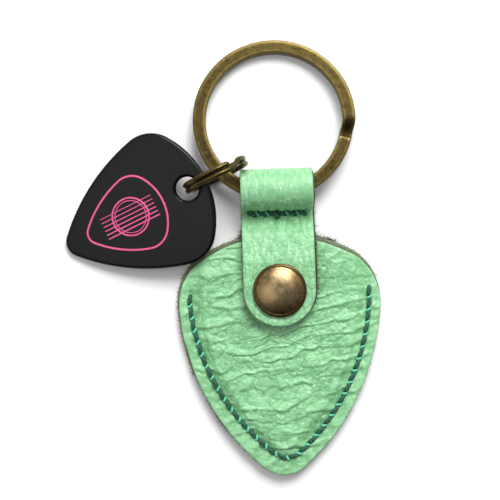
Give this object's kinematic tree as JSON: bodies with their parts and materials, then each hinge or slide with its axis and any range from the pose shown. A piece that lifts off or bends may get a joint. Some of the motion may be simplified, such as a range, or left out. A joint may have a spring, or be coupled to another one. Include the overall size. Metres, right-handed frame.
{
  "type": "guitar pick holder",
  "caption": "Leather guitar pick pouch with a snap flap, on a split key ring, with a small link ring and a pick-shaped tag.",
  "frame": {"origin": "on the pouch's flat back face, straight under the middle of the snap", "axes": "+Y from the pouch's tip towards the key ring, +Z out of the front of the pouch, +X to the right seen from the front"},
  "size_m": [0.0592, 0.0822, 0.013],
  "materials": {
    "back_leather": "pebbled mint green",
    "front_leather": "tumbled grain, mint green",
    "strap_leather": "fine grain, light mint green",
    "thread": "waxed",
    "snap_brass": "antique",
    "spring_wire": "bare wire",
    "ring_brass": "antique",
    "tag_plastic": "satin black"
  },
  "bodies": {
    "pouch": {"back_panel": "back_leather", "front_panel": "front_leather", "pouch_thread_top": "thread", "pouch_thread_back": "thread", "strap_thread_top": "thread", "strap_thread_back": "thread", "snap_stud": "snap_brass", "snap_post": "snap_brass"},
    "flap": {"strap_flap": "strap_leather", "snap_cap": "snap_brass", "snap_socket": "snap_brass", "snap_spring": "spring_wire"},
    "key_ring": {"key_ring": "ring_brass"},
    "link_ring": {"link_ring": "ring_brass"},
    "tag": {"pick_tag": "tag_plastic"}
  },
  "joints": [
    {"name": "flap_lift", "type": "hinge", "parent": "pouch", "child": "flap", "pos_m": [0, 0.01085, 0.00393], "axis": [-1, 0, 0], "range_deg": [0, 110]},
    {"name": "ring_swing", "type": "hinge", "parent": "pouch", "child": "key_ring", "pos_m": [0, 0.01885, 0.004], "axis": [1, 0, 0], "range_deg": [-85, 45]},
    {"name": "link_slide", "type": "hinge", "parent": "key_ring", "child": "link_ring", "pos_m": [0, 0.03192, 0.0026], "axis": [0, 0.1064, 0.9943], "range_deg": [-240, 0]},
    {"name": "tag_swing", "type": "hinge", "parent": "link_ring", "child": "tag", "pos_m": [-0.0112, 0.0219, 0.0065], "axis": [-0.4067, 0.9135, 0], "range_deg": [-10, 90]}
  ]
}
